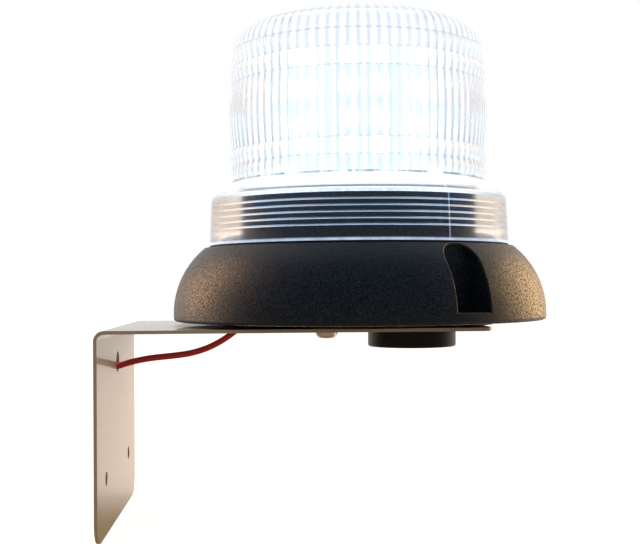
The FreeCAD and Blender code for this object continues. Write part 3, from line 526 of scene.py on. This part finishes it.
for row in frame["record"]["subparts"]:
    node = frame["nodes"][row["node"]]
    node.data.materials.clear()
    node.data.materials.append(finishes[row["material_slot"]].material)


# Objects and meshes
def add_object(name, data):
    """A new object in the scene."""
    made = bpy.data.objects.new(name, data)
    bpy.context.scene.collection.objects.link(made)
    return made


def add_piece(name, data, slot, body, *nodes):
    """A new piece that rides on a body and stands for CAD nodes."""
    piece = add_object(name, data)
    data.materials.append(finishes[slot].material)
    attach(piece, body)
    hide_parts(*nodes)
    return piece


def skin(mesh, name, crease):
    """A mesh with outward normals, smooth faces, and sharp edges where faces meet at more than crease."""
    bmesh.ops.recalc_face_normals(mesh, faces=mesh.faces)
    for face in mesh.faces:
        face.smooth = True
    for edge in mesh.edges:
        edge.smooth = edge.calc_face_angle(0.0) < crease
    data = bpy.data.meshes.new(name)
    mesh.to_mesh(data)
    mesh.free()
    return data


def join_rings(mesh, rings):
    """Faces between rings of points; a ring of one point closes an end."""
    for upper, lower in zip(rings, rings[1:]):
        count = max(len(upper), len(lower))
        for i in range(count):
            j = (i + 1) % count
            if len(upper) == 1:
                mesh.faces.new((upper[0], lower[i], lower[j]))
            elif len(lower) == 1:
                mesh.faces.new((upper[i], lower[0], upper[j]))
            else:
                mesh.faces.new((upper[i], lower[i], lower[j], upper[j]))


# Lens
def arc(start, end, bulge, steps):
    """Points of a shallow arc from start to end that stands out by bulge; the end isn't included."""
    along = Vector(end) - Vector(start)
    outward = Vector((along.y, -along.x)).normalized()
    radius = (along.length**2 / 4 + bulge**2) / (2 * bulge)
    centre = Vector(start) + along / 2 + outward * (bulge - radius)
    half = math.asin(along.length / 2 / radius)
    forward = along.normalized()
    points = []
    for i in range(steps):
        lean = half * (2 * i / steps - 1)
        points.append(tuple(centre + outward * radius * math.cos(lean) + forward * radius * math.sin(lean)))
    return points


def crown(inset):
    """Profile of the crown's corner and cap from the top groove to the axis; inset gives the inside."""
    top = GROOVES[-1]
    corner_x = GROOVE_R - CROWN_CORNER_R
    centre_z = top - math.sqrt((CROWN_R - CROWN_CORNER_R) ** 2 - corner_x**2)
    lean = math.atan2(top - centre_z, corner_x)
    points = []
    for i in range(CROWN_ROWS):
        angle = lean * i / CROWN_ROWS
        radius = CROWN_CORNER_R - inset
        points.append((corner_x + radius * math.cos(angle), top + radius * math.sin(angle)))
    for i in range(CROWN_ROWS + 1):
        angle = lean + (math.pi / 2 - lean) * i / CROWN_ROWS
        radius = CROWN_R - inset
        points.append((radius * math.cos(angle), centre_z + radius * math.sin(angle)))
    points[-1] = (0.0, points[-1][1])
    return points


def lens_outside():
    """Outer profile from the foot's lower edge to the crown."""
    points = [(FOOT_INNER_R, 0.0), (FOOT_OUTER_R, 0.0), (FOOT_OUTER_R, COLLAR_LOW)]
    for i in range(COLLAR_ROWS):
        radius = COLLAR_FOOT_R - (COLLAR_FOOT_R - COLLAR_TOP_R) * i / COLLAR_ROWS
        points.append((radius, COLLAR_LOW + (COLLAR_TOP - COLLAR_LOW) * i / COLLAR_ROWS))
    corner = Vector((COLLAR_TOP_R, COLLAR_TOP))
    side = (Vector((COLLAR_FOOT_R, COLLAR_LOW)) - corner).normalized()
    shoulder = (Vector((GROOVE_R, NECK)) - corner).normalized()
    half = side.angle(shoulder) / 2
    reach = COLLAR_EDGE_R / math.tan(half)
    edge_bulge = COLLAR_EDGE_R * (1 - math.sin(half))
    points += arc(corner + side * reach, corner + shoulder * reach, edge_bulge, COLLAR_EDGE_ROWS)
    points.append(tuple(corner + shoulder * reach))
    bead = (BEAD_BULGE, BEAD_ROWS)
    stretches = [bead] * LOW_BEADS[0] + [(BARREL_BULGE, BARREL_ROWS)] + [bead] * TOP_BEADS[0]
    for low, high, (bulge, rows) in zip(GROOVES, GROOVES[1:], stretches):
        points += arc((GROOVE_R, low), (GROOVE_R, high), bulge, rows)
    return points + crown(0.0)


def lens_inside():
    """Inner profile from the foot to the crown, with how much of the flutes each point carries."""
    wall_r = COLLAR_TOP_R - COLLAR_WALL
    top = COLLAR_TOP - COLLAR_ROOF
    step = COLLAR_LOW + FOOT_STEP
    points = [(FOOT_INNER_R, step, 0.0), (wall_r, step + LENS_WALL, 0.0)]
    half = COLLAR_RIB_WIDTH / 2
    for i in range(COLLAR_RIBS, 0, -1):
        rib_z = top - i * COLLAR_RIB_PITCH
        for offset, depth in ((-half, 0.0), (0.0, COLLAR_RIB_DEPTH), (half, 0.0)):
            points.append((wall_r - depth, rib_z + offset, 0.0))
    points.append((wall_r, top, 0.0))
    valley_r = GROOVE_R - LENS_WALL + FLUTE_DEPTH
    flute_low = NECK - NECK_ROOF
    for share in RUN_OUT_SHARES:
        points.append((valley_r, flute_low + FLUTE_RUN_OUT * share, share))
    inner_crown = crown(LENS_WALL)
    barrel_low = flute_low + FLUTE_RUN_OUT
    for i in range(FLUTE_ROWS):
        points.append((valley_r, barrel_low + (inner_crown[0][1] - barrel_low) * i / FLUTE_ROWS, 1.0))
    for i, (radius, z) in enumerate(inner_crown):
        points.append((radius, z, max(0.0, 1.0 - i / FLUTE_FADE_ROWS)))
    return points


def lens_mesh():
    """The whole lens as one closed skin: outer profile down from the crown, inner profile back up."""
    columns = FLUTES * FLUTE_COLUMNS
    parting = round(PARTING_ANGLE / (2 * math.pi) * columns) % (columns // 2)
    outside = []
    for radius, z in reversed(lens_outside()):
        outside.append((radius, z, 0.0, PARTING_HEIGHT if COLLAR_LOW < z < NECK else 0.0))
    profile = outside + [(*point, 0.0) for point in lens_inside()]
    mesh = bmesh.new()
    rings = []
    for radius, z, share, ridge in profile:
        ring = []
        for column in range(columns if radius else 1):
            turn = 2 * math.pi * column / columns
            along = (column % FLUTE_COLUMNS) / FLUTE_COLUMNS
            r = radius - share * FLUTE_DEPTH * math.sin(math.pi * along) ** 2
            if column % (columns // 2) == parting:
                r += ridge
            ring.append(mesh.verts.new((AXIS_X + r * math.cos(turn), r * math.sin(turn), LENS_FOOT + z)))
        rings.append(ring)
    join_rings(mesh, rings)
    return skin(mesh, "lens", LENS_CREASE)


lens_piece = add_piece("lens_cover", lens_mesh(), "clear_lens", LENS_BODY, "lens")


# Lead
def sleeve_mesh(route):
    """A crimped sleeve on a route's end: round at both ends and pressed square between them."""
    before, end = (Vector(place) for place in route[-2:])
    along = (end - before).normalized()
    across = along.orthogonal().normalized()
    upright = along.cross(across)
    mesh = bmesh.new()
    rings = [[mesh.verts.new(end)]]
    for share, (width, square) in SLEEVE_ROWS:
        middle = end + along * SLEEVE_LENGTH * share
        ring = []
        for i in range(SLEEVE_SIDES):
            angle = 2 * math.pi * i / SLEEVE_SIDES
            r = SLEEVE_R * (width + square * math.cos(CRIMP_CORNERS * angle))
            ring.append(mesh.verts.new(middle + (across * math.cos(angle) + upright * math.sin(angle)) * r))
        rings.append(ring)
    rings.append([mesh.verts.new(end + along * SLEEVE_LENGTH)])
    join_rings(mesh, rings)
    return skin(mesh, "lead_sleeve", SLEEVE_CREASE)


def add_core(name, slot, side, node):
    """One core of the lead: a smooth line along its route, as a round tube, with a sleeve on its end."""
    route = [(x * MM, side * CORE_OFFSET, z * MM) for x, z in LEAD_ROUTE]
    line = bpy.data.curves.new(name, "CURVE")
    line.dimensions = "3D"
    line.bevel_depth = CORE_D / 2
    line.bevel_resolution = CORE_ROUNDNESS
    line.resolution_u = ROUTE_STEPS
    line.use_fill_caps = True
    spline = line.splines.new("NURBS")
    spline.points.add(len(route) - 1)
    for point, place in zip(spline.points, route):
        point.co = (*place, 1.0)
    spline.order_u = ROUTE_ORDER
    spline.use_endpoint_u = True
    core = add_piece(name, line, slot, BASE_BODY, node)
    sleeve = add_piece(f"{name}_sleeve", sleeve_mesh(route), "zinc_steel", BASE_BODY, "lead_ferrules")


add_core("lead_red", "red_wire", -1, "lead_core_red")
add_core("lead_black", "black_wire", 1, "lead_core_black")


# Camera
def add_camera():
    """The photo's view: along +Y, turned, tipped and rolled a little."""
    forward = Vector((math.sin(CAMERA_YAW) * math.cos(CAMERA_PITCH),
                      math.cos(CAMERA_YAW) * math.cos(CAMERA_PITCH), math.sin(CAMERA_PITCH)))
    level = Vector((math.cos(CAMERA_YAW), -math.sin(CAMERA_YAW), 0.0))
    upright = level.cross(forward)
    right = level * math.cos(CAMERA_ROLL) + upright * math.sin(CAMERA_ROLL)
    up = upright * math.cos(CAMERA_ROLL) - level * math.sin(CAMERA_ROLL)
    data = bpy.data.cameras.new("camera")
    data.sensor_width = SENSOR
    data.lens = FOCAL_PIXELS / PHOTO_WIDTH * SENSOR
    data.clip_start = CAMERA_NEAR
    camera = add_object("camera", data)
    turn = Matrix((right, up, -forward)).transposed().to_4x4()
    camera.matrix_world = Matrix.Translation(CAMERA_PLACE) @ turn
    bpy.context.scene.camera = camera


add_camera()


# Stage
def add_floor():
    """A tan floor that the camera sees as white, but for the object's shadow."""
    level = cad_box[0].z - FLOOR_GAP
    corners = [(x * FLOOR_HALF, y * FLOOR_HALF, level) for x, y in ((-1, -1), (1, -1), (1, 1), (-1, 1))]
    data = bpy.data.meshes.new("floor")
    data.from_pydata(corners, [], [range(len(corners))])
    floor = add_object("floor", data)
    tan = Finish("floor_tan", {
        "Base Color": rgb(0.56, 0.48, 0.38),
        "Roughness": 0.9,
        "Specular IOR Level": 0.0,
        "Emission Strength": 0.92,
    })
    white = tan.shows_white(FLOOR_DEPTH_PER_METRE * tan.part_of(tan.place, "Y"))
    seen = tan.mix(FLOOR_TAN_SHARE * tan.ray("Transmission"), rgb(1.0, 1.0, 1.0), BACKDROP_TAN)
    tan.surface({"Emission Color": tan.mix(white, rgb(0.0, 0.0, 0.0), seen)})
    data.materials.append(tan.material)


def add_panel(name, place, size, colour, power):
    """A soft panel of light that faces the lens's foot."""
    data = bpy.data.lights.new(name, "AREA")
    data.shape = "RECTANGLE"
    data.size, data.size_y = size
    data.color = colour
    data.energy = power
    panel = add_object(name, data)
    panel.location = place
    panel.rotation_euler = (PANEL_AIM - Vector(place)).to_track_quat("-Z", "Y").to_euler()
    panel.visible_camera = False
    panel.visible_transmission = False
    return panel


def choose_lit(panel, state, *pieces):
    """Say that a light shines on these pieces alone, INCLUDE, or on all but these, EXCLUDE."""
    chosen = bpy.data.collections.new(f"{panel.name}_pieces")
    for piece in pieces:
        chosen.objects.link(piece)
    for row in chosen.collection_objects:
        row.light_linking.link_state = state
    panel.light_linking.receiver_collection = chosen


def add_panels():
    """Warm side panels that miss the lens, bracket and buzzer, paler ones for the bracket, and one above."""
    panels = {name: add_panel(name, *values) for name, values in PANELS.items()}
    bracket = frame["nodes"]["wall_bracket"]
    buzzer = [frame["nodes"][name] for name in ("buzzer_case", "buzzer_body")]
    for name in ("right_panel", "left_panel"):
        choose_lit(panels[name], "EXCLUDE", lens_piece, bracket, *buzzer)
    for name in ("paint_right", "paint_left"):
        choose_lit(panels[name], "INCLUDE", bracket)


def add_world():
    """A room that is white to the camera, with a tan wall low behind in glass and a blue front in gloss."""
    world = bpy.data.worlds.new("studio")
    bpy.context.scene.world = world
    world.use_nodes = True
    room = Nodes(world.node_tree)
    sky = room.tree.nodes["Background"]
    way = room.node("ShaderNodeTexCoord", output="Generated")
    depth, up = (room.part_of(way, axis) for axis in "YZ")
    wall = room.ray("Transmission") * room.ramp(depth, *WALL_BEHIND) * (1 - room.ramp(up, *WALL_TOP))
    front = room.ray("Glossy") * (1 - room.ramp(depth, *WHITE_IN_GLOSS))
    plain = room.mix(front, rgb(1.0, 1.0, 1.0), FRONT_BLUE)
    room.put(sky.inputs["Color"], room.mix(wall, plain, BACKDROP_TAN))
    room.put(sky.inputs["Strength"], ROOM + (1 - ROOM) * room.shows_white(depth))


add_floor()
add_panels()
add_world()
bpy.context.scene.view_settings.view_transform = "Standard"
